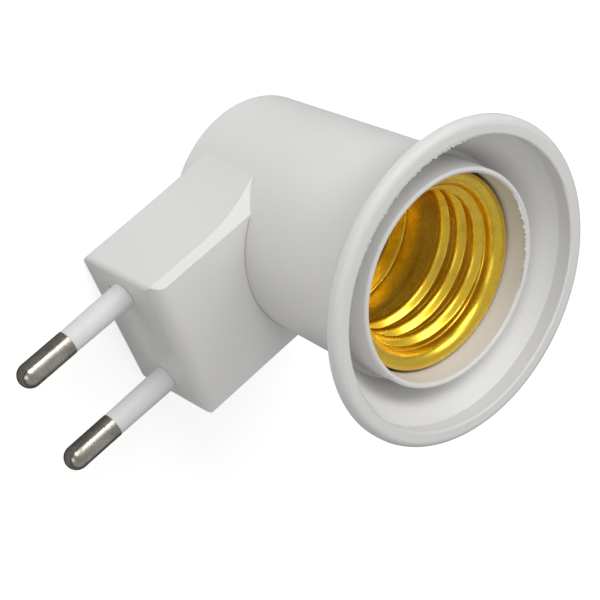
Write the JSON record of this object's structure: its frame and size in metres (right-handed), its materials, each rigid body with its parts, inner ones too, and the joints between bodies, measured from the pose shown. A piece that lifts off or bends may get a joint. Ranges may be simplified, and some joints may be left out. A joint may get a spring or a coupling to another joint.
{
  "type": "lamp socket adapter",
  "caption": "Plug-in lamp holder: a side plug block with round pins on a round barrel that flares into a bell mouth, with a standing inner collar round a brass-coloured screw shell.",
  "frame": {"origin": "centre of the round part of the flat rear face, on the barrel's axis", "axes": "+Z along the barrel out of the lamp mouth, -Y along the plug pins, +X from the left pin to the right pin seen with the mouth up and the pins towards the viewer"},
  "size_m": [0.051, 0.0787, 0.0482],
  "materials": {
    "shell_plastic": "white moulded plastic, satin to gloss",
    "sleeve_plastic": "white moulded sleeve, satin",
    "base_plastic": "off-white insulating moulding, matte",
    "shell_brass": "bright gold-coloured drawn sheet",
    "rivet_brass": "plain brass, lightly polished",
    "strap_brass": "stamped brass strip, plain",
    "pin_nickel": "nickel-plated brass pin, slightly mottled",
    "screw_steel": "zinc-plated steel screw"
  },
  "bodies": {
    "holder": {"housing": "shell_plastic", "rear_cover": "shell_plastic", "cover_screw_front": "screw_steel", "cover_screw_rear": "screw_steel", "contact_base": "base_plastic", "base_screw_front": "screw_steel", "base_screw_rear": "screw_steel", "screw_shell": "shell_brass", "shell_rivet_left": "rivet_brass", "shell_rivet_right": "rivet_brass", "contact_spring": "rivet_brass", "contact_rivet": "rivet_brass", "live_strap": "strap_brass", "neutral_strap": "strap_brass", "pin_left": "pin_nickel", "pin_right": "pin_nickel", "pin_sleeve_left": "sleeve_plastic", "pin_sleeve_right": "sleeve_plastic", "pin_carrier": "base_plastic"},
    "contact": {"contact_button": "rivet_brass"}
  },
  "joints": [
    {"name": "contact_press", "type": "slide", "parent": "holder", "child": "contact", "axis": [0, 0, -1], "range_m": [0, 0.0012], "stiffness_N_per_m": 1500, "deforming": ["contact_spring"]}
  ]
}
